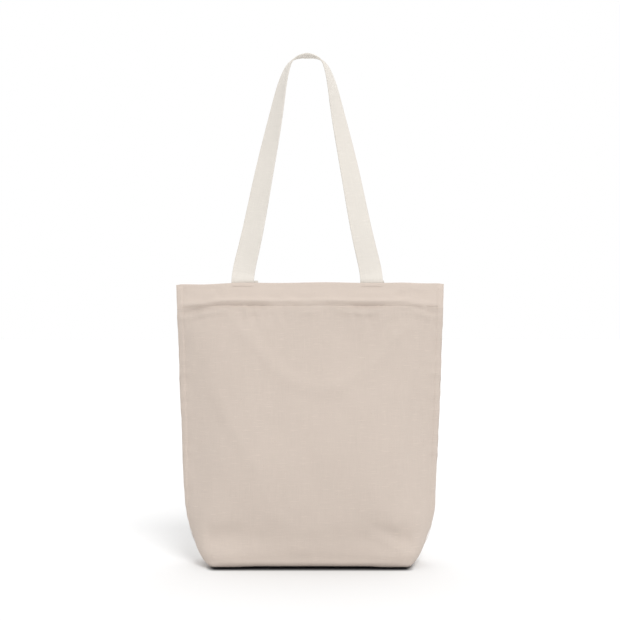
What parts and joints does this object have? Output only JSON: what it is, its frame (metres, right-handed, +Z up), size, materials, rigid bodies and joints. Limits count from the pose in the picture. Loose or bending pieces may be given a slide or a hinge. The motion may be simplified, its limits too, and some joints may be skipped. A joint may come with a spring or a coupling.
{
  "type": "canvas tote bag",
  "caption": "Open-topped canvas tote bag with a folded hem, a boxed base and webbing carrying handles: one stands up, the other hangs down behind.",
  "frame": {"origin": "the middle of the base, on the floor", "axes": "+Z up; +X across the front; the front panel faces -Y"},
  "size_m": [0.382, 0.1459, 0.7211],
  "materials": {
    "canvas": "unbleached plain-weave cotton canvas, matt",
    "webbing": "undyed cotton webbing, matt",
    "thread": "natural cotton sewing thread"
  },
  "bodies": {
    "bag": {"front_panel": "canvas", "back_panel": "canvas", "left_side_overlock": "thread", "right_side_overlock": "thread", "base_overlock": "thread", "left_corner_overlock": "thread", "right_corner_overlock": "thread", "left_side_stitching": "thread", "right_side_stitching": "thread", "base_stitching": "thread", "left_corner_stitching": "thread", "right_corner_stitching": "thread", "front_hem_stitching": "thread", "rear_hem_stitching": "thread", "front_handle_tails": "webbing", "rear_handle_tails": "webbing", "front_handle_tacks": "thread", "rear_handle_tacks": "thread"},
    "front_handle": {"front_handle": "webbing"},
    "rear_handle": {"rear_handle": "webbing"}
  },
  "joints": [
    {"name": "front_handle_fold", "type": "hinge", "parent": "bag", "child": "front_handle", "pos_m": [-0.004, -0.02, 0.4], "axis": [1, 0, 0], "range_deg": [0, 169]},
    {"name": "rear_handle_fold", "type": "hinge", "parent": "bag", "child": "rear_handle", "pos_m": [0, 0.02, 0.4], "axis": [1, 0, 0], "range_deg": [0, 169]}
  ]
}
